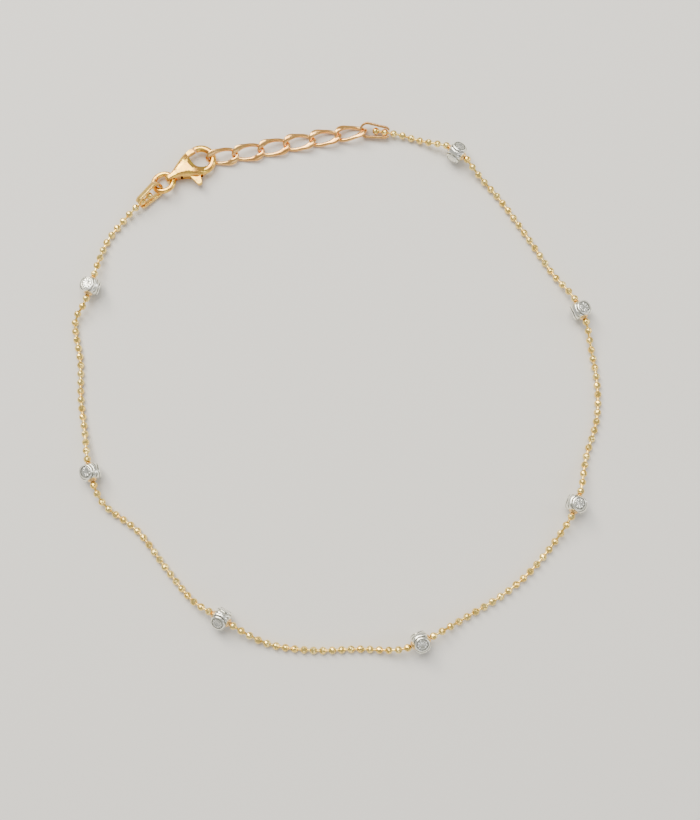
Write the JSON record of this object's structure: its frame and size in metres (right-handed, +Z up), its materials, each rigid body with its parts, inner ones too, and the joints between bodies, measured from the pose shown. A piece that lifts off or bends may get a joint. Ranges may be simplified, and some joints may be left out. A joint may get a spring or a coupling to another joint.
{
  "type": "anklet",
  "caption": "Fine ball-chain anklet with moon-cut station beads, folded end tags, a lobster clasp on a jump ring and a curb-link extension, lying fastened in a loop.",
  "frame": {"origin": "middle of the fastened loop's outline, on the surface that it lies on", "axes": "+Z up from the surface, +Y from the loop's middle towards the clasp and the extension, +X from the clasp along the extension"},
  "size_m": [0.0797, 0.0816, 0.0033],
  "materials": {
    "yellow_gold": "polished yellow gold",
    "rose_gold": "polished rose-tinted gold",
    "white_metal": "bright diamond-cut white metal",
    "pin_gold": "satin gold"
  },
  "bodies": {
    "anklet": {"ball_chain_left": "yellow_gold", "ball_chain_right": "yellow_gold", "clasp_body": "yellow_gold", "clasp_pin": "pin_gold", "end_tag_clasp": "yellow_gold", "end_tag_extension": "rose_gold", "extension_link_1": "rose_gold", "extension_link_2": "rose_gold", "extension_link_3": "rose_gold", "extension_link_4": "rose_gold", "extension_link_5": "rose_gold", "extension_link_6": "rose_gold", "jump_ring": "yellow_gold", "moon_bead_1": "white_metal", "moon_bead_2": "white_metal", "moon_bead_3": "white_metal", "moon_bead_4": "white_metal", "moon_bead_5": "white_metal", "moon_bead_6": "white_metal", "moon_bead_7": "white_metal"},
    "clasp_lever": {"clasp_lever": "yellow_gold"}
  },
  "joints": [
    {"name": "lever_hinge", "type": "hinge", "parent": "anklet", "child": "clasp_lever", "pos_m": [-0.02387, 0.03357, 0.00115], "axis": [0, 0, -1], "range_deg": [0, 22], "stiffness_Nm_per_rad": 0.0002, "springref_deg": -20.05}
  ]
}
